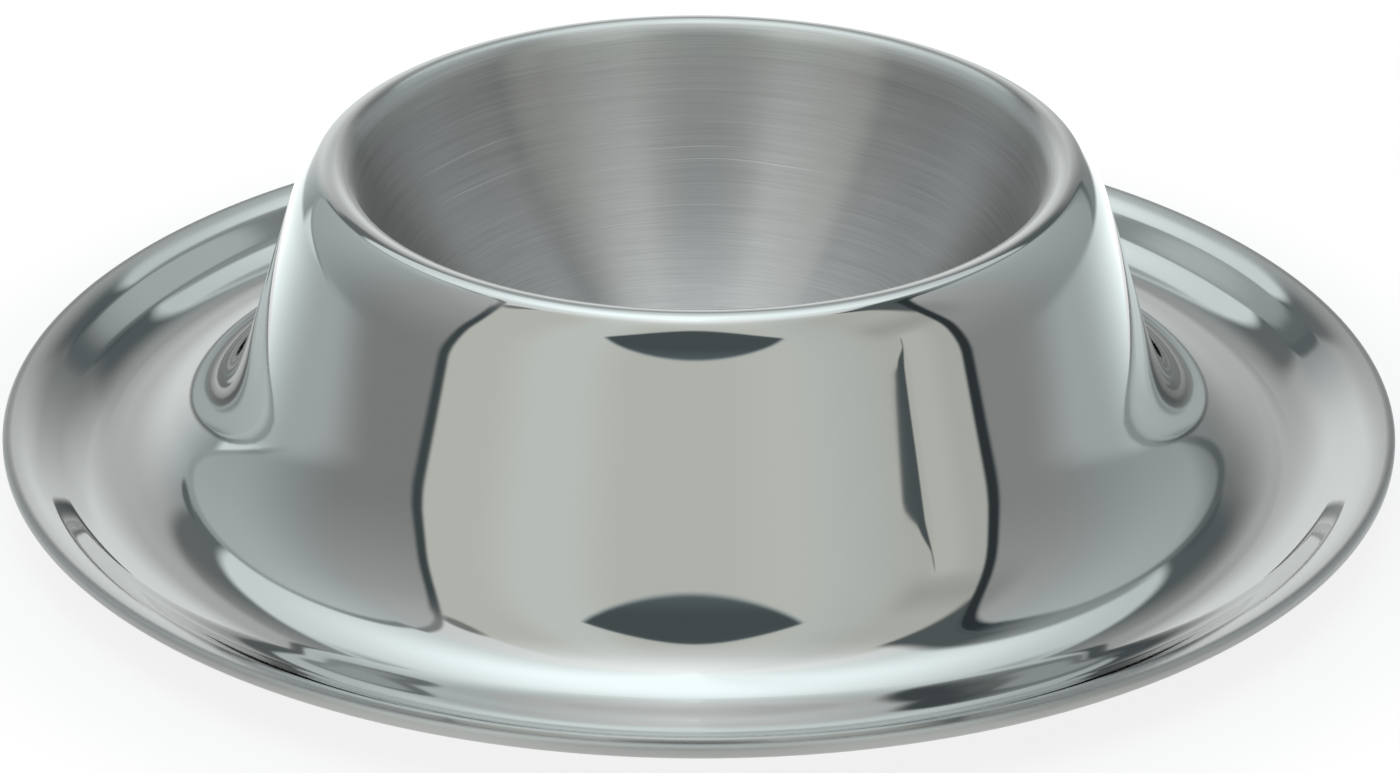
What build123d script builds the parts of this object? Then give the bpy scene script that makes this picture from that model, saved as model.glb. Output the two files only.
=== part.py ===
from build123d import *
from math import asin, cos, degrees, radians, sin
import os

os.makedirs("parts", exist_ok=True)

# Egg cup with a saucer, pressed from stainless sheet and resting on the trough of the saucer.
# Millimetres. Origin on the table under the middle of the cup, +Z up along the axis of the cup.

# Saucer shell: one mirror-polished pressing from the lip to the outer edge
overall_height = 19.6
rim_diameter = 44.3  # circle along the crest of the rim
shell_sheet = 0.8
rim_bend_radius = 1.4  # outside radius of the tight bend over the crest
rim_bend_end = 48.0  # lean from the upright where the tight bend meets the shoulder
shoulder_radius = 5.4
collar_lean = 17.0  # lean of the collar away from the upright
collar_foot_radius = 7.5  # from the collar down into the trough
rest_ring_width = 0.6  # flat ring under the trough that stands on the table
trough_radius = 5.9  # from the rest ring up into the slope
slope_angle = 35.5  # steepest part of the saucer
slope_length = 1.46
edge_roll_radius = 3.8  # from the slope over to the level outer edge
edge_rounding = 0.3  # broken corners of the cut edge
lip_length = 1.1  # straight lip inside the rim, down to the seam

# Egg bowl: a satin pressing with a joggled edge that laps behind the lip
bowl_sheet = 0.6
bowl_lean = 15.0  # lean of the top of the bowl's wall from the upright, shared by the lip
bowl_wall_radius = 24.0  # curve of the wall
bowl_corner_radius = 14.0  # from the wall into the small flat floor
bowl_floor_clearance = 0.6  # air between the bowl's floor and the table
lap_length = 1.0  # height of the joggled edge behind the lip
seam_clearance = 0.05  # solder film between lip and bowl

# Directions in the half section, drawn with the axis of the cup upright
down_lip = Vector(-sin(radians(bowl_lean)), -cos(radians(bowl_lean)))
into_bowl = Vector(-cos(radians(bowl_lean)), sin(radians(bowl_lean)))

# The crest of the rim and the seam inside it
crest = Vector(rim_diameter / 2, overall_height - rim_bend_radius)
lip_top = crest + into_bowl * rim_bend_radius
lip_end = lip_top + down_lip * lip_length

# The straight collar runs from the shoulder to the height where its foot starts to curve
lean = radians(collar_lean)
bend_end = radians(rim_bend_end)
shoulder_centre = crest - Vector(cos(bend_end), sin(bend_end)) * (shoulder_radius - rim_bend_radius)
collar_top = shoulder_centre + Vector(cos(lean), sin(lean)) * shoulder_radius
collar_foot_height = shell_sheet + collar_foot_radius * (1 - sin(lean))
collar_length = (collar_top.Y - collar_foot_height) / cos(lean)

with BuildPart() as saucer_shell:
    with BuildSketch(Plane.XZ):
        with BuildLine() as shell_face:
            lip = Line(lip_end, lip_top)
            bend = JernArc(lip @ 1, lip % 1, rim_bend_radius, rim_bend_end + bowl_lean - 180)
            shoulder = JernArc(bend @ 1, bend % 1, shoulder_radius, collar_lean - rim_bend_end)
            collar = Line(shoulder @ 1, shoulder @ 1 + (shoulder % 1) * collar_length)
            foot = JernArc(collar @ 1, collar % 1, collar_foot_radius, 90 - collar_lean)
            ring = Line(foot @ 1, foot @ 1 + (foot % 1) * rest_ring_width)
            trough = JernArc(ring @ 1, ring % 1, trough_radius, slope_angle)
            slope = Line(trough @ 1, trough @ 1 + (trough % 1) * slope_length)
            edge_roll = JernArc(slope @ 1, slope % 1, edge_roll_radius, -slope_angle)
            offset(amount=shell_sheet, side=Side.RIGHT)
        make_face()
        fillet(vertices().sort_by(Axis.X)[-2:], edge_rounding)
    revolve(axis=Axis.Z)
saucer_shell.part.label = "saucer_shell"
export_step(saucer_shell.part, "parts/saucer_shell.step")

# The bowl's wall starts just under the lip's cut end and curves down to the corner of the floor
wall_top = lip_end + down_lip * seam_clearance
wall_centre = wall_top + into_bowl * bowl_wall_radius
floor_height = bowl_floor_clearance + bowl_sheet
corner_centre_height = floor_height + bowl_corner_radius
corner_fall = (wall_centre.Y - corner_centre_height) / (bowl_wall_radius - bowl_corner_radius)
wall_foot_lean = degrees(asin(corner_fall))
corner_reach = (bowl_wall_radius - bowl_corner_radius) * cos(radians(wall_foot_lean))
floor_radius = wall_centre.X + corner_reach
joggle_depth = shell_sheet + seam_clearance

with BuildPart() as egg_bowl:
    with BuildSketch(Plane.XZ):
        with BuildLine() as bowl_face:
            floor = Line((0, floor_height), (floor_radius, floor_height))
            corner = JernArc(floor @ 1, floor % 1, bowl_corner_radius, 90 - wall_foot_lean)
            wall = JernArc(corner @ 1, corner % 1, bowl_wall_radius, wall_foot_lean - bowl_lean)
            joggle = Line(wall @ 1, wall @ 1 - into_bowl * joggle_depth)
            lap = Line(joggle @ 1, joggle @ 1 - down_lip * lap_length)
            offset(amount=bowl_sheet, side=Side.RIGHT)
        make_face()
    revolve(axis=Axis.Z)
egg_bowl.part.label = "egg_bowl"
export_step(egg_bowl.part, "parts/egg_bowl.step")

print("overall diameter", round(2 * (edge_roll @ 1).X, 3))
print("rest ring starts at radius", round((ring @ 0).X, 3))
print("edge height", round((edge_roll @ 1).Y, 3))
print("wall foot lean", round(wall_foot_lean, 3))
print("bowl floor radius", round(floor_radius, 3))
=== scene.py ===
from math import asin, ceil, cos, pi, radians, sin

import bmesh
import bpy
from bpy.props import FloatProperty, FloatVectorProperty, IntProperty, PointerProperty
from mathutils import Matrix, Vector


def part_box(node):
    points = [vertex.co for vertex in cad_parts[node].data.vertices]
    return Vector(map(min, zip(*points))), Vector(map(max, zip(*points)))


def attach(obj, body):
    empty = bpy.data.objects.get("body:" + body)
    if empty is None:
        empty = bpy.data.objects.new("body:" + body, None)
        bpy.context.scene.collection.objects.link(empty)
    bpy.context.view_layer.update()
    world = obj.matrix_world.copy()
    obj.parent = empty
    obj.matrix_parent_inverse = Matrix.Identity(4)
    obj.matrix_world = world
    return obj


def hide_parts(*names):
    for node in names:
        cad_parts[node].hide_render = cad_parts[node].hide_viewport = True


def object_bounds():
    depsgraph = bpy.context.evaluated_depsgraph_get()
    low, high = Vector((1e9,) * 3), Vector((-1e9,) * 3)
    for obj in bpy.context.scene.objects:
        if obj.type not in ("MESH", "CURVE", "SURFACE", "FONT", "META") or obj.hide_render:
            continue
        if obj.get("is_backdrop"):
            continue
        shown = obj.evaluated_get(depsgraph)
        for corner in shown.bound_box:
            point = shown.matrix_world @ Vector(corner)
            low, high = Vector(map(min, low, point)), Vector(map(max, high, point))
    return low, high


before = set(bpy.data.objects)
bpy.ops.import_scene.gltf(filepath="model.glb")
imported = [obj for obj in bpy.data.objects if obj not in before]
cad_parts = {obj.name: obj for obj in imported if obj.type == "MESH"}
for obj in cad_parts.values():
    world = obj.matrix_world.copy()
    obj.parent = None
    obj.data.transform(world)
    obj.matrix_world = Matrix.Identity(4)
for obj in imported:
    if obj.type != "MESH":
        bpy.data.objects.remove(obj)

bl_info = {
    "name": "Steel Egg Cup",
    "version": (1, 0, 0),
    "blender": (4, 5, 0),
    "location": "View3D > Sidebar > Egg Cup",
    "description": "Makes a pressed steel egg cup with a saucer, its finishes and a light tent",
    "category": "Add Mesh",
}

# Metres, in the frame of the solids: origin on the table under the middle of the cup, +Z up
CAD_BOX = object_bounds()
SHELL_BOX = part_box("saucer_shell")
MM = 0.001

# Arcs in the part of a bend that grows out of a straight run
EASING_ARCS = 12

# Turn of one facet on the saucer's face, which mirrors the tent, and on sides that hardly show
FACE_FACET = radians(1.2)
BACK_FACET = radians(4.0)

# A quarter turn of the gloss, for brush lines that run round the axis
GLOSS_TURN = 0.25

# Sockets of a Mix node that blends colours, by number because other sockets share their names
MIX_FACTOR = 0
MIX_BELOW = 6
MIX_ABOVE = 7
MIX_RESULT = 2

WHITE = (1.0, 1.0, 1.0)


def length(name, description, millimetres):
    """A length in metres whose default is written in millimetres."""
    metres = millimetres * MM
    return FloatProperty(name=name, description=description, default=metres, unit="LENGTH", precision=5)


def angle(name, description, value):
    """An angle whose default is written in degrees."""
    return FloatProperty(name=name, description=description, default=radians(value), subtype="ANGLE")


def share(name, description, value):
    """A plain number between nothing and one."""
    return FloatProperty(name=name, description=description, default=value, min=0.0, max=1.0)


def color(name, description, value):
    """A linear colour."""
    return FloatVectorProperty(name=name, description=description, default=value, subtype="COLOR")


class ShellSizes(bpy.types.PropertyGroup):
    """Sizes of the polished pressing from the lip to the outer edge of the saucer."""

    overall_height: FloatProperty(
        name="Overall Height",
        description="Height of the rim over the table, taken from the solid",
        default=SHELL_BOX[1].z - SHELL_BOX[0].z,
        unit="LENGTH",
    )
    edge_radius: FloatProperty(
        name="Edge Radius",
        description="Radius of the outer edge of the saucer, taken from the solid",
        default=SHELL_BOX[1].x,
        unit="LENGTH",
    )
    rim_diameter: length("Rim Diameter", "Circle along the crest of the rim", 44.3)
    sheet: length("Sheet", "Thickness of the steel", 0.8)
    rim_bend_radius: length("Rim Bend", "Outside radius of the tight bend over the crest", 1.4)
    rim_bend_end: angle("Rim Bend End", "Lean where the bend meets the shoulder", 48.0)
    shoulder_radius: length("Shoulder", "Radius of the shoulder under the rim", 5.4)
    shoulder_easing: angle("Shoulder Easing", "Turn over which the shoulder straightens out", 13.0)
    collar_lean: angle("Collar Lean", "Lean of the collar away from the upright", 17.0)
    foot_easing: angle("Foot Easing", "Turn over which the collar's foot starts to bend", 26.0)
    collar_foot_radius: length("Collar Foot", "Radius from the collar down into the trough", 7.5)
    rest_ring_width: length("Rest Ring", "Flat ring under the trough that stands on the table", 0.6)
    trough_radius: length("Trough", "Radius from the rest ring up into the slope", 5.9)
    slope_angle: angle("Slope", "Steepest part of the saucer", 35.5)
    slope_length: length("Slope Length", "Straight part of the slope", 1.46)
    edge_roll_radius: length("Edge Roll", "Radius from the slope over to the level edge", 3.8)
    edge_rounding: length("Edge Rounding", "Broken corners of the cut edge", 0.3)
    lip_length: length("Lip", "Straight lip inside the rim, down to the seam", 1.1)


class BowlSizes(bpy.types.PropertyGroup):
    """Sizes of the satin pressing that holds the egg."""

    sheet: length("Sheet", "Thickness of the steel", 0.6)
    lean: angle("Lean", "Lean of the top of the wall, shared by the lip", 15.0)
    wall_radius: length("Wall", "Curve of the wall", 24.0)
    corner_radius: length("Corner", "Radius from the wall into the small flat floor", 14.0)
    floor_clearance: length("Floor Clearance", "Air between the floor and the table", 0.6)
    lap_length: length("Lap", "Height of the joggled edge behind the lip", 1.0)
    lap_clearance: length("Lap Clearance", "Solder film between the lip's back and the lap", 0.05)
    seam_clearance: length("Seam", "Gap between the lip's cut end and the wall", 0.004)


class SteelLook(bpy.types.PropertyGroup):
    """Colours and finishes of the steel."""

    polished_color: color("Polished Steel", "Reflection colour of the shell", (0.61, 0.61, 0.605))
    satin_color: color("Satin Steel", "Reflection colour of the bowl", (0.60, 0.588, 0.595))
    mirror_roughness: share("Polish", "Roughness of the polished shell", 0.035)
    mirror_smear: share("Polish Smear", "How far the roughness of the polish wanders", 0.02)
    roll_dulling: share("Roll", "Roughness added towards the edge of the saucer", 0.14)
    cut_dulling: share("Cut Edge", "Roughness added on the cut edge", 0.24)
    # painted shade: darkness of a dark reflection painted into the colour as a line just inside the cut
    # edge
    painted_edge_shade: share("Edge Line", "Darkness of the line over the cut edge", 0.30)
    satin_roughness: share("Satin", "Roughness of the brushed bowl", 0.35)
    satin_smear: share("Satin Smear", "How far the roughness of the satin wanders", 0.06)
    brushing: share("Brushing", "How far the gloss spreads across the brush lines", 1.0)
    fine_lines: share("Fine Lines", "Contrast of the fine brush lines", 0.60)
    broad_lines: share("Broad Lines", "Contrast of the broad bands of brush lines", 0.16)
    turns: IntProperty(name="Turns", description="Steps round the axis", default=256, min=64, max=512)


class StageLook(bpy.types.PropertyGroup):
    """Camera, floor and light tent."""

    camera_distance: length("Camera Distance", "From the camera to the middle of the cup", 292.1)
    camera_height: angle("Camera Angle", "Angle of the camera over the table", 26.244)
    aim_height: length("Aim Height", "Height over the table that the camera looks at", 4.035)
    lens: FloatProperty(name="Lens", description="Focal length", default=122.19, unit="CAMERA")
    shift: FloatProperty(name="Shift", description="Sideways shift of the picture", default=0.00075)
    camera_roll: angle("Camera Roll", "Turn of the camera about its line of sight", 0.126)
    tent_radius: length("Tent", "Radius of the light tent", 3000.0)
    floor_radius: length("Floor Radius", "Radius of the round floor", 54.0)
    floor_color: color("Floor", "Colour of the floor", (0.30, 0.30, 0.30))
    floor_glow: share("Floor Glow", "Light that lifts the floor to white for the camera", 0.75)
    fade_start: share("Fade Start", "Share of the radius where the floor starts to turn white", 0.84)
    fade_end: share("Fade End", "Share of the radius where the floor is plain white", 0.99)
    sky_light: share("Sky", "Light of the world for rays that don't show the background", 0.5)


def new_object(name, mesh, material):
    """Puts a bmesh into the scene as an object of one material."""
    data = bpy.data.meshes.new(name)
    mesh.to_mesh(data)
    mesh.free()
    data.materials.append(material)
    made = bpy.data.objects.new(name, data)
    bpy.context.scene.collection.objects.link(made)
    return made


class Section:
    """A half section that is drawn like a path, X outwards and Z up, and then turned round the axis."""

    def __init__(self, start, heading):
        self.mesh = bmesh.new()
        self.tip = self.mesh.verts.new((start[0], 0.0, start[1]))
        self.heading = heading

    def turn(self, by):
        """Changes direction on the spot, to the left for positive angles."""
        self.heading += by

    def run(self, distance, steps=1):
        """Goes straight on."""
        step = Vector((cos(self.heading), 0.0, sin(self.heading))) * (distance / steps)
        for _ in range(steps):
            made = bmesh.ops.extrude_vert_indiv(self.mesh, verts=[self.tip])
            self.tip = made["verts"][0]
            bmesh.ops.translate(self.mesh, verts=[self.tip], vec=step)

    def bend(self, radius, by, facet):
        """Follows an arc, to the left for positive angles, in steps of one facet at most."""
        side = 1.0 if by > 0.0 else -1.0
        across = Vector((-sin(self.heading), 0.0, cos(self.heading)))
        centre = self.tip.co + across * (radius * side)
        made = bmesh.ops.spin(
            self.mesh,
            geom=[self.tip],
            cent=centre,
            axis=(0.0, -1.0, 0.0),
            angle=by,
            steps=max(1, ceil(abs(by) / facet)),
        )
        self.tip = made["geom_last"][0]
        self.heading += by

    def revolve(self, name, turns, material):
        """Turns the section round the axis and returns the finished object."""
        outline = list(self.mesh.verts) + list(self.mesh.edges)
        bmesh.ops.spin(
            self.mesh,
            geom=outline,
            cent=(0.0, 0.0, 0.0),
            axis=(0.0, 0.0, 1.0),
            angle=2.0 * pi,
            steps=turns,
            use_merge=True,
        )
        bmesh.ops.remove_doubles(self.mesh, verts=self.mesh.verts, dist=1e-6)
        bmesh.ops.recalc_face_normals(self.mesh, faces=self.mesh.faces)
        for face in self.mesh.faces:
            face.smooth = True
        piece = new_object(name, self.mesh, material)
        piece.data.set_sharp_from_angle(angle=radians(40.0))
        return piece


class Value:
    """A socket that takes part in Python expressions. Each operation adds one Math node."""

    def __init__(self, graph, socket):
        self.graph = graph
        self.socket = socket

    def math(self, operation, *others):
        return self.graph.math(operation, self, *others)

    def __add__(self, other):
        return self.math("ADD", other)

    def __radd__(self, other):
        return self.graph.math("ADD", other, self)

    def __sub__(self, other):
        return self.math("SUBTRACT", other)

    def __rsub__(self, other):
        return self.graph.math("SUBTRACT", other, self)

    def __mul__(self, other):
        return self.math("MULTIPLY", other)

    def __rmul__(self, other):
        return self.graph.math("MULTIPLY", other, self)

    def __truediv__(self, other):
        return self.math("DIVIDE", other)

    def __rtruediv__(self, other):
        return self.graph.math("DIVIDE", other, self)

    def __pow__(self, other):
        return self.math("POWER", other)

    def __neg__(self):
        return self.math("MULTIPLY", -1.0)

    def __abs__(self):
        return self.math("ABSOLUTE")

    def degrees(self):
        """An angle in degrees."""
        return self * (180.0 / pi)

    def above(self, level):
        """How far the value is over a level, and 0 below it."""
        return self.graph.math("MAXIMUM", self - level, 0.0)

    def below(self, level):
        """How far the value is under a level, and 0 above it."""
        return self.graph.math("MAXIMUM", level - self, 0.0)

    def rise(self, low, high):
        """0 below low, 1 above high and a smooth step between."""
        made = self.graph.node(
            "ShaderNodeMapRange",
            {"interpolation_type": "SMOOTHSTEP", "clamp": True},
            {"Value": self, "From Min": low, "From Max": high, "To Min": 0.0, "To Max": 1.0},
        )
        return made["Result"]

    def fall(self, low, high):
        """1 below low, 0 above high and a smooth step between."""
        return 1.0 - self.rise(low, high)

    def within(self, low, high, soft):
        """1 between low and high, with soft ends."""
        return self.rise(low - soft, low + soft) * self.fall(high - soft, high + soft)


class Outputs:
    """The outputs of one node by name or number, as values."""

    def __init__(self, graph, node):
        self.graph = graph
        self.node = node

    def __getitem__(self, name):
        return Value(self.graph, self.node.outputs[name])


class Graph:
    """Builds one node tree."""

    def __init__(self, tree):
        self.tree = tree
        tree.nodes.clear()

    def node(self, kind, settings=None, sockets=None):
        """Adds a node of any kind: first its settings, then the values or links of its sockets."""
        made = self.tree.nodes.new(kind)
        for name, value in (settings or {}).items():
            setattr(made, name, value)
        for name, value in (sockets or {}).items():
            self.feed(made.inputs[name], value)
        return Outputs(self, made)

    def feed(self, socket, value):
        """Links a value to a socket, or sets the socket to a number, a vector or a colour."""
        if isinstance(value, Value):
            self.tree.links.new(value.socket, socket)
        elif isinstance(value, tuple) and socket.type == "RGBA":
            socket.default_value = (*value, 1.0)
        else:
            socket.default_value = value

    def math(self, operation, *terms):
        made = self.node("ShaderNodeMath", {"operation": operation}, dict(enumerate(terms)))
        return made["Value"]

    def vector(self, operation, *terms):
        made = self.node("ShaderNodeVectorMath", {"operation": operation}, dict(enumerate(terms)))
        return made["Vector"]

    def parts(self, vector):
        """The three numbers of a vector."""
        made = self.node("ShaderNodeSeparateXYZ", {}, {"Vector": vector})
        return made["X"], made["Y"], made["Z"]

    def join(self, x, y, z):
        """A vector from three numbers."""
        return self.node("ShaderNodeCombineXYZ", {}, {"X": x, "Y": y, "Z": z})["Vector"]

    def shade(self, base, tone):
        """A colour times a number."""
        return self.vector("MULTIPLY", base, self.join(tone, tone, tone))

    def blend(self, mask, below, above):
        """The colour below where the mask is 0 and the colour above where it is 1."""
        sockets = {MIX_FACTOR: mask, MIX_BELOW: below, MIX_ABOVE: above}
        return self.node("ShaderNodeMix", {"data_type": "RGBA"}, sockets)[MIX_RESULT]

    def object_point(self):
        """The place on the piece, in metres."""
        return self.node("ShaderNodeTexCoord")["Object"]

    def noise(self, vector, scale, detail, roughness):
        made = self.node(
            "ShaderNodeTexNoise",
            {"noise_dimensions": "3D"},
            {"Vector": vector, "Scale": scale, "Detail": detail, "Roughness": roughness},
        )
        return made["Fac"]

    def surface(self, shader):
        self.node("ShaderNodeOutputMaterial", {"is_active_output": True}, {"Surface": shader})


def mix(mask, below, above):
    """The number below where the mask is 0 and the number above where it is 1."""
    return below + (above - below) * mask


def new_material(name):
    """An empty node material."""
    made = bpy.data.materials.new(name)
    made.use_nodes = True
    return made, Graph(made.node_tree)


class BrushLines:
    """Brush lines that run round the axis, fine ones and broad bands of them."""

    def __init__(self, graph):
        self.graph = graph
        self.x, self.y, z = graph.parts(graph.object_point())
        self.radius = graph.math("SQRT", self.x * self.x + self.y * self.y)
        off_axis = graph.math("MAXIMUM", self.radius, 0.5 * MM)
        self.around_x = self.x / off_axis
        self.around_y = self.y / off_axis

        # the track counts millimetres across the lines, which sway a little on their way round
        along = (self.radius + z) / MM
        self.track = along + self.streaks(along, around=1.3, across=0.05, detail=2.0, roughness=0.5)
        self.fine = self.streaks(self.track, around=2.2, across=8.0, detail=4.0, roughness=0.7)
        self.broad = self.streaks(self.track, around=1.1, across=1.4, detail=2.0, roughness=0.5)

    def streaks(self, track, around, across, detail, roughness):
        """Noise drawn out round the axis. The two scales are round the axis and across the lines."""
        place = self.graph.join(self.around_x * around, self.around_y * around, track * across)
        return self.graph.noise(place, 1.0, detail, roughness)

    def turn(self):
        """The angle round the axis in degrees, 0 at the back and + to the right."""
        return self.graph.math("ARCTAN2", self.x, self.y).degrees()

    def tone(self, look, amount):
        """The brightness of the steel with the lines in it, as far as the amount goes."""
        lines = (self.fine - 0.5) * look.fine_lines + (self.broad - 0.5) * look.broad_lines
        return 1.0 + lines * amount


def steel_surface(graph, look, sockets):
    """Metal whose gloss spreads across the brush lines."""
    common = {"Metallic": 1.0, "Anisotropic": look.brushing, "Anisotropic Rotation": GLOSS_TURN}
    shader = graph.node("ShaderNodeBsdfPrincipled", {}, common | sockets)
    graph.surface(shader["BSDF"])


def polished_steel(look, shell):
    """Mirror finish, satin inside the rim and duller towards the cut edge, with a dark reflection
    painted over it as a shade line.
    """
    made, graph = new_material("polished_steel")
    brush = BrushLines(graph)

    # bands in millimetres inwards from the crest of the rim and from the saucer's edge
    from_crest = (shell.rim_diameter / 2.0 - brush.radius) / MM
    from_edge = (shell.edge_radius - brush.radius) / MM
    inside = from_crest.rise(0.1, 0.9)
    roll = from_edge.fall(0.6, 2.4)
    cut = from_edge.fall(0.2, 0.55)
    # painted shade: a band 0.22 to 0.5 mm in from the edge, all round, where a dark reflection is
    # painted into the colour
    line = from_edge.within(0.22, 0.5, 0.12)

    smear = graph.noise(graph.object_point(), scale=60.0, detail=3.0, roughness=0.55)
    polish = look.mirror_roughness + (smear - 0.5) * look.mirror_smear
    dulling = roll * look.roll_dulling + cut * look.cut_dulling
    # the tone darkens the colour along that band with the painted shade line
    tone = brush.tone(look, inside) * (1.0 - line * look.painted_edge_shade)
    wave = graph.noise(graph.object_point(), scale=110.0, detail=1.0, roughness=0.4)
    bump = graph.node("ShaderNodeBump", {}, {"Strength": 1.0, "Distance": 0.012 * MM, "Height": wave})
    sockets = {
        "Base Color": graph.shade(tuple(look.polished_color), tone),
        "Roughness": mix(inside, polish, look.satin_roughness) + dulling,
        "Normal": bump["Normal"],
    }
    steel_surface(graph, look, sockets)
    return made


def satin_steel(look):
    """Steel brushed round the axis, with a few longer and brighter scratches."""
    made, graph = new_material("satin_steel")
    brush = BrushLines(graph)
    turn = brush.turn()

    # each scratch: its place on the track, the angles of its two ends and its strength
    scratches = (
        (33.9, -62.0, -38.0, 0.36),
        (31.1, -58.0, -36.0, 0.30),
        (31.0, -9.0, 8.0, 0.40),
        (29.9, -8.0, 24.0, 0.34),
        (25.8, -10.0, 9.0, 0.30),
    )
    marks = 1.0
    for place, start, end, strength in scratches:
        line = (brush.track - place).within(-0.04, 0.04, 0.03)
        marks = marks + line * turn.within(start, end, 8.0) * strength
    sockets = {
        "Base Color": graph.shade(tuple(look.satin_color), brush.tone(look, 1.0) * marks),
        "Roughness": look.satin_roughness + (brush.broad - 0.5) * look.satin_smear,
    }
    steel_surface(graph, look, sockets)
    return made


def eased(radius, turn, easing):
    """A bend that grows out of a straight run, as pairs of radius and turn, and the run it takes up.

    It reaches as far across as a plain arc of the radius, so what lies beyond keeps its place.
    """
    arcs = []
    for place in range(EASING_ARCS):
        tightness = (place + 0.5) / EASING_ARCS
        arcs.append((1.0 / tightness, easing * tightness * 2.0 / EASING_ARCS))
    arcs.append((1.0, turn - easing))
    heading = 0.0
    along = 0.0
    across = 0.0
    for size, by in arcs:
        along += size * (sin(heading + by) - sin(heading))
        across += size * (cos(heading) - cos(heading + by))
        heading += by
    tight = radius * (1.0 - cos(turn)) / across
    return [(size * tight, by) for size, by in arcs], along * tight - radius * sin(turn)


def lip_directions(bowl):
    """The directions down the lip and from the lip into the bowl."""
    down = Vector((-sin(bowl.lean), 0.0, -cos(bowl.lean)))
    inward = Vector((-cos(bowl.lean), 0.0, sin(bowl.lean)))
    return down, inward


def lip_end(shell, bowl):
    """The lower end of the lip's face, where the seam is."""
    down, inward = lip_directions(bowl)
    crest = Vector((shell.rim_diameter / 2.0, 0.0, shell.overall_height - shell.rim_bend_radius))
    return crest + inward * shell.rim_bend_radius + down * shell.lip_length


class EGGCUP_OT_add_shell(bpy.types.Operator):
    """Make the polished shell, from the lip over the rim and down to the edge of the saucer"""

    bl_idname = "egg_cup.add_shell"
    bl_label = "Add Saucer Shell"

    def execute(self, context):
        shell = context.scene.egg_cup_shell
        bowl = context.scene.egg_cup_bowl
        look = context.scene.egg_cup_steel
        start = lip_end(shell, bowl)
        sheet = shell.sheet

        # heights along the face that fix the straight part of the collar
        crest_height = shell.overall_height - shell.rim_bend_radius
        reach = shell.shoulder_radius - shell.rim_bend_radius
        shoulder_height = crest_height - reach * sin(shell.rim_bend_end)
        collar_top = shoulder_height + shell.shoulder_radius * sin(shell.collar_lean)
        collar_foot = sheet + shell.collar_foot_radius * (1.0 - sin(shell.collar_lean))
        collar_length = (collar_top - collar_foot) / cos(shell.collar_lean)
        rim_turn = pi - bowl.lean - shell.rim_bend_end
        shoulder_turn = shell.rim_bend_end - shell.collar_lean
        foot_turn = pi / 2.0 - shell.collar_lean
        shoulder, shoulder_run = eased(shell.shoulder_radius, shoulder_turn, shell.shoulder_easing)
        foot, foot_run = eased(shell.collar_foot_radius, foot_turn, shell.foot_easing)
        collar_length -= shoulder_run + foot_run

        # the broken corners of the cut edge
        rounding = shell.edge_rounding
        roll = shell.edge_roll_radius
        upper_reach = roll - rounding
        lower_reach = roll - sheet + rounding
        upper = asin(rounding / upper_reach)
        lower = asin(rounding / lower_reach)
        cut_length = upper_reach * cos(upper) - lower_reach * cos(lower)

        # the face, from the seam over the rim to the edge
        path = Section((start.x, start.z), pi / 2.0 - bowl.lean)
        path.run(shell.lip_length, steps=4)
        path.bend(shell.rim_bend_radius, -rim_turn, facet=radians(4.0))
        for radius, by in reversed(shoulder):
            path.bend(radius, -by, facet=radians(0.8))
        path.run(collar_length, steps=6)
        for radius, by in foot:
            path.bend(radius, by, FACE_FACET)
        path.run(shell.rest_ring_width, steps=3)
        path.bend(shell.trough_radius, shell.slope_angle, FACE_FACET)
        path.run(shell.slope_length, steps=4)
        path.bend(roll, upper - shell.slope_angle, FACE_FACET)

        # the cut edge
        path.bend(rounding, -(pi / 2.0 + upper), facet=radians(12.0))
        path.run(cut_length, steps=2)
        path.bend(rounding, lower - pi / 2.0, facet=radians(12.0))

        # the underside, back up to the seam
        path.bend(roll - sheet, shell.slope_angle - lower, BACK_FACET)
        path.run(shell.slope_length, steps=2)
        path.bend(shell.trough_radius + sheet, -shell.slope_angle, BACK_FACET)
        path.run(shell.rest_ring_width, steps=2)
        for radius, by in reversed(foot):
            path.bend(radius + sheet, -by, BACK_FACET)
        path.run(collar_length, steps=2)
        for radius, by in shoulder:
            path.bend(radius - sheet, by, facet=radians(3.0))
        path.bend(shell.rim_bend_radius - sheet, rim_turn, facet=radians(8.0))
        path.run(shell.lip_length, steps=2)
        path.turn(-pi / 2.0)
        path.run(sheet)

        piece = path.revolve("saucer_shell_steel", look.turns, polished_steel(look, shell))
        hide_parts("saucer_shell")
        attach(piece, "root")
        return {"FINISHED"}


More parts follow.
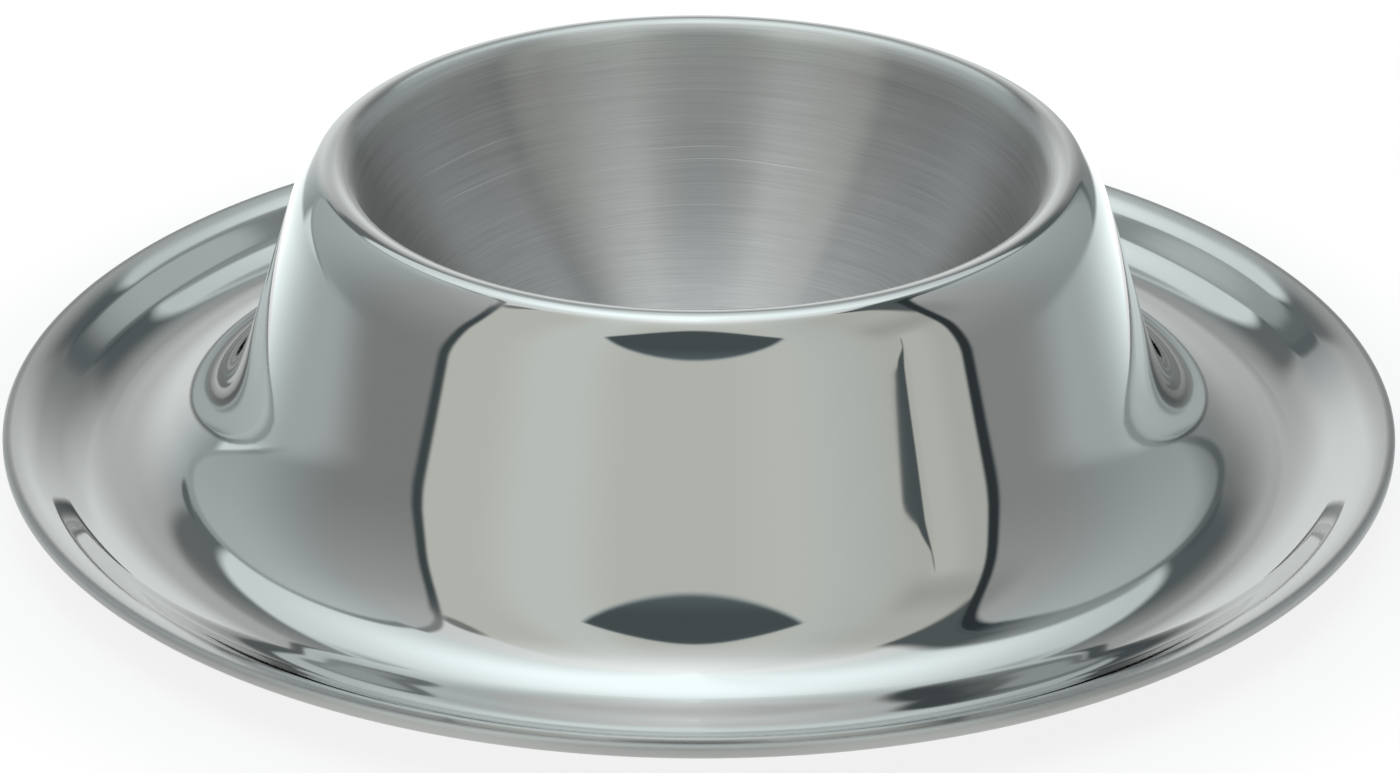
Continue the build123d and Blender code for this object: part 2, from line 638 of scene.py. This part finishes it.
class EGGCUP_OT_add_bowl(bpy.types.Operator):
    """Make the brushed bowl with the joggled edge that laps behind the lip"""

    bl_idname = "egg_cup.add_bowl"
    bl_label = "Add Egg Bowl"

    def execute(self, context):
        shell = context.scene.egg_cup_shell
        bowl = context.scene.egg_cup_bowl
        look = context.scene.egg_cup_steel
        down, inward = lip_directions(bowl)
        sheet = bowl.sheet

        # the wall hangs from the seam, and its foot leans as far as the corner and the floor need
        wall_top = lip_end(shell, bowl) + down * bowl.seam_clearance
        wall_centre = wall_top + inward * bowl.wall_radius
        floor_height = bowl.floor_clearance + sheet
        between = bowl.wall_radius - bowl.corner_radius
        foot_lean = asin((wall_centre.z - floor_height - bowl.corner_radius) / between)
        floor_radius = wall_centre.x + between * cos(foot_lean)
        joggle = shell.sheet + bowl.lap_clearance
        inner_corner = asin(sheet / (bowl.wall_radius + sheet))
        inner_step = (bowl.wall_radius + sheet) * cos(inner_corner) - bowl.wall_radius

        # the face, from the middle of the floor up to the lap
        path = Section((0.0, floor_height), 0.0)
        path.run(floor_radius, steps=6)
        path.bend(bowl.corner_radius, pi / 2.0 - foot_lean, facet=radians(2.0))
        path.bend(bowl.wall_radius, foot_lean - bowl.lean, facet=radians(0.5))
        path.turn(-pi / 2.0)
        path.run(joggle, steps=2)
        path.turn(pi / 2.0)
        path.run(bowl.lap_length, steps=2)

        # over the cut edge of the lap and down the outside
        path.turn(-pi / 2.0)
        path.run(sheet)
        path.turn(-pi / 2.0)
        path.run(bowl.lap_length, steps=2)
        path.bend(sheet, -pi / 2.0, facet=radians(15.0))
        path.run(joggle - inner_step)
        path.turn(pi / 2.0 - inner_corner)
        path.bend(bowl.wall_radius + sheet, bowl.lean + inner_corner - foot_lean, facet=radians(1.0))
        path.bend(bowl.corner_radius + sheet, foot_lean - pi / 2.0, BACK_FACET)
        path.run(floor_radius, steps=3)

        piece = path.revolve("egg_bowl_steel", look.turns, satin_steel(look))
        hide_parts("egg_bowl")
        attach(piece, "root")
        return {"FINISHED"}


class TentWall:
    """The light of the tent's wall in each direction, read off the reflections in the steel.

    Azimuth 0 is towards the camera and + to its right, height 0 is level, both in degrees.
    """

    cool_tint = (0.895, 1.0, 1.005)
    plain_tint = (0.958, 1.0, 0.99)
    warm_tint = (0.962, 1.0, 0.925)
    pale_tint = (0.935, 1.0, 0.955)
    dark_tint = (0.80, 1.0, 1.07)

    def __init__(self, graph):
        x, y, z = graph.parts(graph.vector("NORMALIZE", graph.object_point()))
        self.graph = graph
        self.azimuth = graph.math("ARCTAN2", x, -y).degrees()
        self.height = graph.math("ARCSINE", z).degrees()
        self.side = abs(self.azimuth)

    def paint(self):
        """The colour of the wall, in which each layer covers the ones before it."""
        light = self.back_wall(self.overhead())
        light, cloth = self.front_cloth(light)
        light, opening = self.lens_opening(light)
        light, left = self.left_panel(light)
        light, right = self.right_panel(light)
        light = self.table(light)
        tint = self.tint(light, cloth * (1.0 - left) * (1.0 - right), opening)
        return self.graph.shade(tint, light)

    def spot(self, azimuth, height, half_width, half_height):
        """Below 1 inside an oval and 1 on its edge."""
        across = (self.azimuth - azimuth) / half_width
        up = (self.height - height) / half_height
        return across ** 2.0 + up ** 2.0

    def round_panel(self, across, middle, up, down, power):
        """Below 1 inside a round panel and 1 on its edge. A higher power gives it squarer corners."""
        rise = self.height.above(middle) / up
        drop = self.height.below(middle) / down
        return across ** power + rise ** power + drop ** power

    def overhead(self):
        """Cloth overhead, dim over the camera and bright over the back."""
        over_front = 0.90 + self.height.rise(68.0, 94.0) * 0.55 - self.azimuth * 0.0012
        over_side = 0.92 + self.height.rise(56.0, 100.0) * 0.64
        shade = self.side.rise(160.0, 174.0) * self.height.fall(58.0, 68.0)
        over_back = 0.98 + self.height.rise(40.0, 74.0) * 0.64 - shade * 0.16
        light = mix(self.side.rise(50.0, 95.0), over_front, over_side)
        light = mix(self.side.rise(95.0, 146.0), light, over_back)
        return light - self.azimuth.rise(60.0, 150.0) * self.side.fall(156.0, 180.0) * 0.16

    def back_wall(self, light):
        """Back wall under a slanting dark seam, dimmer on the right, with a dark spot in each corner."""
        height = self.height
        side = self.side
        on_right = self.azimuth.rise(-1.0, 1.0)
        far = side - on_right * side.fall(170.0, 180.0) * 15.0
        wall = mix(far.rise(136.0, 164.0), 0.38 - on_right * 0.06, 0.95)
        wall = wall * (1.0 - height.rise(14.0, 36.0) * 0.50)
        seam_height = 35.5 - side.fall(140.0, 166.0) * (4.0 - on_right * 2.5)
        over_seam = height - seam_height
        light = mix(over_seam.fall(-1.0, 4.0) * side.rise(137.0, 141.0), light, wall)
        seam_foot = mix(on_right, over_seam.rise(-5.4, -2.2), over_seam.rise(-9.0, -3.0))
        seam = seam_foot * over_seam.fall(3.0, 5.6) * side.rise(137.0, 142.0)
        seam_light = mix(side.rise(158.0, 178.0), 0.20 - on_right * 0.05, 0.46)
        light = mix(seam, light, seam_light)
        fold = side.within(165.0, 175.0, 2.5) * height.within(41.5, 47.0, 2.0)
        light = mix(fold, light, 0.53)
        left_corner = self.spot(-147.0, 26.0, half_width=1.6, half_height=5.0)
        light = mix(left_corner.fall(0.3, 1.3), light, 0.17)
        right_corner = self.spot(148.5, 29.5, half_width=3.6, half_height=6.0)
        return mix(right_corner.fall(0.3, 1.3), light, 0.13)

    def front_cloth(self, light):
        """Cloth in front, with a fold and a slack part on the right."""
        azimuth = self.azimuth
        height = self.height
        front = 0.73 + azimuth.within(-48.0, -25.0, 9.0) * 0.09 + azimuth.within(12.0, 30.0, 8.0) * 0.03
        front = front - azimuth.rise(30.0, 56.0) * 0.08 + height.rise(56.0, 80.0) * 0.08
        slack = azimuth.within(50.0, 80.0, 5.0) * height.within(26.0, 42.0, 9.0)
        front = front - slack * 0.13
        strip = azimuth.within(56.0, 80.0, 1.0) * height.fall(20.0, 27.0)
        front = mix(strip, front, 0.70 - azimuth.rise(60.0, 68.0) * 0.07)
        past_fold = azimuth - 54.6 - height.above(4.3) * 0.14
        fold_width = 0.3 + height.fall(2.7, 5.5) * 3.4 + height.fall(4.0, 14.0) * 1.8
        fold = past_fold.fall(-0.3, 0.3) * (past_fold + fold_width).rise(-0.3, 0.3)
        front = mix(fold * height.fall(17.0, 24.0), front, 0.12)
        cloth = azimuth.within(-76.0, 80.0, 1.5) * height.fall(60.0, 78.0)
        return mix(cloth, light, front), cloth

    def lens_opening(self, light):
        """Opening for the lens, between two arcs that meet in points."""
        middle = -1.6
        half_width = 29.0
        foot = 25.5
        top = 62.2
        across = (self.azimuth - middle) / half_width
        over_foot = self.height - foot - across * across * 20.5
        under_top = top - across * across * 15.5 - self.height
        opening = over_foot.rise(-2.4, 2.0) * under_top.rise(-1.2, 1.2)
        return mix(opening, light, 0.11 + self.height.fall(24.0, 40.0) * 0.05), opening

    def left_panel(self, light):
        """Round panel on the left with a dark binding and a clip at the top."""
        azimuth = self.azimuth
        height = self.height
        middle = -104.0
        outer = azimuth.fall(middle - 2.0, middle + 2.0)
        shape = self.round_panel(
            across=abs(azimuth - middle) / mix(outer, 38.0, 41.5),
            middle=mix(outer, 20.0, 18.0),
            up=40.0,
            down=mix(outer, 40.0, 26.0),
            power=mix(outer, 2.4, 1.9),
        )
        panel = shape.fall(0.96, 1.04)
        deep = self.side.rise(90.0, 130.0)
        cloth = 0.31 + deep * 0.20 + height.above(0.0) * mix(deep, 0.0044, 0.0034)
        light = mix(panel, light, cloth + height.rise(36.0, 56.0) * 0.06)
        inner = azimuth.rise(-84.0, -74.0)
        edge = mix(inner, 0.24 + azimuth.fall(-136.0, -114.0) * 0.22, 0.09)
        edge = edge + height.rise(34.0, 52.0) * 0.08
        binding = mix(inner, shape.within(0.91, 1.02, 0.035), shape.within(0.85, 1.01, 0.05))
        light = mix(binding, light, edge)
        clip = self.spot(-76.5, 56.5, half_width=4.0, half_height=6.0)
        return mix(clip.fall(0.2, 1.3), light, 0.27), panel

    def right_panel(self, light):
        """Round panel on the right with a dark binding, under a dark gap."""
        azimuth = self.azimuth
        height = self.height
        side = self.side
        gap_shape = (azimuth.above(95.0) / 57.0) ** 2.6 + (height.above(0.0) / 67.5) ** 2.6
        gap = gap_shape.fall(0.90, 1.04) * azimuth.within(72.6, 150.0, 2.0) * height.rise(36.0, 44.0)
        light = mix(gap, light, 0.14 + side.rise(110.0, 132.0) * 0.27)
        middle = 103.0
        outer = azimuth.rise(middle - 2.0, middle + 2.0)
        shape = self.round_panel(
            across=abs(azimuth - middle) / mix(outer, 32.5, 48.0),
            middle=20.0,
            up=39.4,
            down=42.0,
            power=mix(outer, 2.5, 1.7),
        )
        panel = shape.fall(0.96, 1.04)
        cloth = 0.35 + side.rise(84.0, 130.0) * 0.11 + height.above(0.0) * 0.0036
        cloth = cloth - azimuth.rise(138.0, 150.0) * 0.22
        cloth = cloth - azimuth.fall(77.0, 88.0) * height.rise(16.0, 44.0) * 0.12
        light = mix(panel, light, cloth)
        edge = 0.05 + azimuth.rise(96.0, 130.0) * 0.32 - azimuth.rise(134.0, 150.0) * 0.20
        hem = 0.84 + azimuth.rise(112.0, 132.0) * 0.08
        binding = mix(outer, shape.within(0.80, 1.02, 0.05), shape.within(hem, 1.03, 0.04))
        return mix(binding, light, edge), panel

    def table(self, light):
        """Table round the cup, seen low in the reflections."""
        table = 0.57 + self.side.rise(116.0, 162.0) * 0.86
        return mix(self.height.fall(-7.0, -2.5), light, table)

    def tint(self, light, cloth, opening):
        """Cool panels and cloth overhead, a plain back, warm cloth in front and cold darks."""
        graph = self.graph
        back = self.side.rise(144.0, 160.0) * self.height.fall(32.0, 40.0)
        plain = graph.math("MAXIMUM", back, self.side.fall(86.0, 112.0))
        tint = graph.blend(plain, self.cool_tint, self.plain_tint)
        pale = self.azimuth.within(-46.0, -27.0, 5.0) + self.azimuth.within(27.0, 46.0, 5.0)
        cloth_tint = graph.blend(pale, self.warm_tint, self.pale_tint)
        tint = graph.blend(cloth, tint, cloth_tint)
        dark = graph.math("MAXIMUM", opening, light.fall(0.08, 0.26))
        return graph.blend(dark, tint, self.dark_tint)


def background_ray(graph):
    """1 for rays that show the background: from the camera, off metal or through glass."""
    path = graph.node("ShaderNodeLightPath")
    shown = graph.math("MAXIMUM", path["Is Camera Ray"], path["Is Glossy Ray"])
    return graph.math("MAXIMUM", shown, path["Is Transmission Ray"])


def pale_floor(stage):
    """Matt floor, lifted to white, that turns plain white towards its edge."""
    made, graph = new_material("pale_floor")
    x, y, _ = graph.parts(graph.object_point())
    radius = graph.math("SQRT", x * x + y * y)
    shown = background_ray(graph)
    matt = graph.node("ShaderNodeBsdfDiffuse", {}, {"Color": tuple(stage.floor_color)})
    lift = graph.node("ShaderNodeEmission", {}, {"Color": WHITE, "Strength": shown * stage.floor_glow})
    both = graph.node("ShaderNodeAddShader", {}, {0: matt["BSDF"], 1: lift["Emission"]})
    plain = graph.node("ShaderNodeEmission", {}, {"Color": WHITE, "Strength": shown})
    edge = radius.rise(stage.floor_radius * stage.fade_start, stage.floor_radius * stage.fade_end)
    layers = {0: edge, 1: both["Shader"], 2: plain["Emission"]}
    graph.surface(graph.node("ShaderNodeMixShader", {}, layers)["Shader"])
    return made


def tent_cloth():
    """Cloth that glows as its wall is painted."""
    made, graph = new_material("tent_cloth")
    glow = graph.node("ShaderNodeEmission", {}, {"Color": TentWall(graph).paint(), "Strength": 1.0})
    graph.surface(glow["Emission"])
    made.cycles.emission_sampling = "NONE"
    return made


class EGGCUP_OT_add_stage(bpy.types.Operator):
    """Set up the floor, the light tent and the camera"""

    bl_idname = "egg_cup.add_stage"
    bl_label = "Add Stage"

    def execute(self, context):
        scene = context.scene
        stage = scene.egg_cup_stage
        self.add_floor(stage)
        self.add_tent(stage)
        self.add_camera(scene, stage)
        self.set_world(scene, stage)
        scene.view_settings.view_transform = "Standard"
        return {"FINISHED"}

    def add_floor(self, stage):
        mesh = bmesh.new()
        bmesh.ops.create_circle(mesh, cap_ends=True, radius=stage.floor_radius, segments=96)
        floor = new_object("floor", mesh, pale_floor(stage))
        floor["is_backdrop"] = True

    def add_tent(self, stage):
        mesh = bmesh.new()
        bmesh.ops.create_uvsphere(mesh, u_segments=48, v_segments=24, radius=stage.tent_radius)
        bmesh.ops.reverse_faces(mesh, faces=mesh.faces)
        tent = new_object("light_tent", mesh, tent_cloth())
        tent.visible_camera = False
        tent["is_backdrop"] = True

    def add_camera(self, scene, stage):
        data = bpy.data.cameras.new("camera")
        data.sensor_width = 36.0
        data.lens = stage.lens
        data.shift_x = stage.shift
        data.clip_start = 0.01
        data.clip_end = 10.0
        camera = bpy.data.objects.new("camera", data)
        out = Vector((0.0, -cos(stage.camera_height), sin(stage.camera_height)))
        camera.location = Vector((0.0, 0.0, stage.aim_height)) + out * stage.camera_distance
        tilt = Matrix.Rotation(pi / 2.0 - stage.camera_height, 3, "X")
        roll = Matrix.Rotation(stage.camera_roll, 3, "Z")
        camera.rotation_euler = (tilt @ roll).to_euler()
        scene.collection.objects.link(camera)
        scene.camera = camera

    def set_world(self, scene, stage):
        world = bpy.data.worlds.new("studio")
        world.use_nodes = True
        graph = Graph(world.node_tree)
        strength = mix(background_ray(graph), stage.sky_light, 1.0)
        sky = graph.node("ShaderNodeBackground", {}, {"Color": WHITE, "Strength": strength})
        graph.node("ShaderNodeOutputWorld", {}, {"Surface": sky["Background"]})
        world.cycles.sampling_method = "NONE"
        scene.world = world


class VIEW3D_PT_egg_cup(bpy.types.Panel):
    """Lists the pieces of the egg cup and the sizes behind them"""

    bl_label = "Egg Cup"
    bl_space_type = "VIEW_3D"
    bl_region_type = "UI"
    bl_category = "Egg Cup"

    def draw(self, context):
        layout = self.layout
        for operator in OPERATORS:
            layout.operator(operator.bl_idname)
        for name, group in GROUPS.items():
            box = layout.box()
            for key in group.__annotations__:
                box.prop(getattr(context.scene, name), key)


GROUPS = {
    "egg_cup_shell": ShellSizes,
    "egg_cup_bowl": BowlSizes,
    "egg_cup_steel": SteelLook,
    "egg_cup_stage": StageLook,
}
OPERATORS = (EGGCUP_OT_add_shell, EGGCUP_OT_add_bowl, EGGCUP_OT_add_stage)


def register():
    for name, group in GROUPS.items():
        bpy.utils.register_class(group)
        setattr(bpy.types.Scene, name, PointerProperty(type=group))
    for operator in OPERATORS:
        bpy.utils.register_class(operator)
    bpy.utils.register_class(VIEW3D_PT_egg_cup)


def unregister():
    bpy.utils.unregister_class(VIEW3D_PT_egg_cup)
    for operator in reversed(OPERATORS):
        bpy.utils.unregister_class(operator)
    for name, group in reversed(GROUPS.items()):
        delattr(bpy.types.Scene, name)
        bpy.utils.unregister_class(group)


def main():
    register()
    bpy.ops.egg_cup.add_shell()
    bpy.ops.egg_cup.add_bowl()
    bpy.ops.egg_cup.add_stage()
    low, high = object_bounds()
    boxes = {
        "cad_box": [list(CAD_BOX[0]), list(CAD_BOX[1])],
        "visual_box": [list(low), list(high)],
    }


if __name__ == "__main__":
    main()
